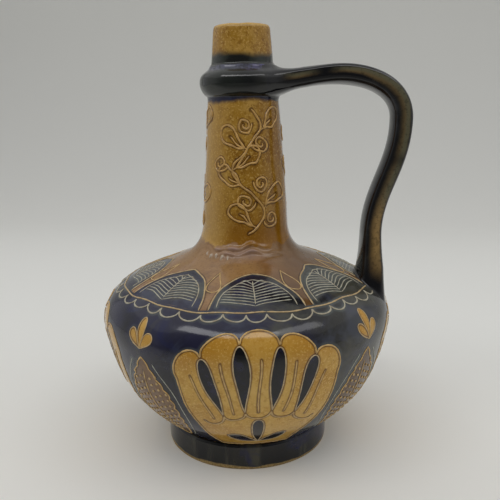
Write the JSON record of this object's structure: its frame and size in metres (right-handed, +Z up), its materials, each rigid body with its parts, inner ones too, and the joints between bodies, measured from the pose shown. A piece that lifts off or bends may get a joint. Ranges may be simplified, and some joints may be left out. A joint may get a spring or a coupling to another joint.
{
  "type": "ceramic jug",
  "caption": "Glazed stoneware jug with a squat round belly on a foot ring, a long tapered neck with a collar below the mouth, and a pulled handle from collar to shoulder.",
  "frame": {"origin": "on the ground under the middle of the jug's box; the jug's turning axis stands at x = -5.49 mm because the handle reaches out on one side", "axes": "+Z up along the neck, +X from the jug's axis towards the handle"},
  "size_m": [0.1986, 0.1876, 0.27],
  "materials": {
    "dark_glaze": "glossy dark blue-black glaze that breaks olive-brown where it runs thin",
    "cobalt_glaze": "glossy cobalt blue-black glaze with cloudy patches, raised pale lines and buff panels",
    "brown_glaze": "glossy warm brown glaze round the neck, running into cobalt",
    "honey_glaze": "glossy honey-ochre glaze with fine iron specks"
  },
  "bodies": {
    "root": {"foot_ring": "dark_glaze", "belly_bowl": "cobalt_glaze", "shoulder": "brown_glaze", "neck": "honey_glaze", "collar": "dark_glaze", "mouth": "honey_glaze", "handle": "dark_glaze"}
  },
  "joints": []
}
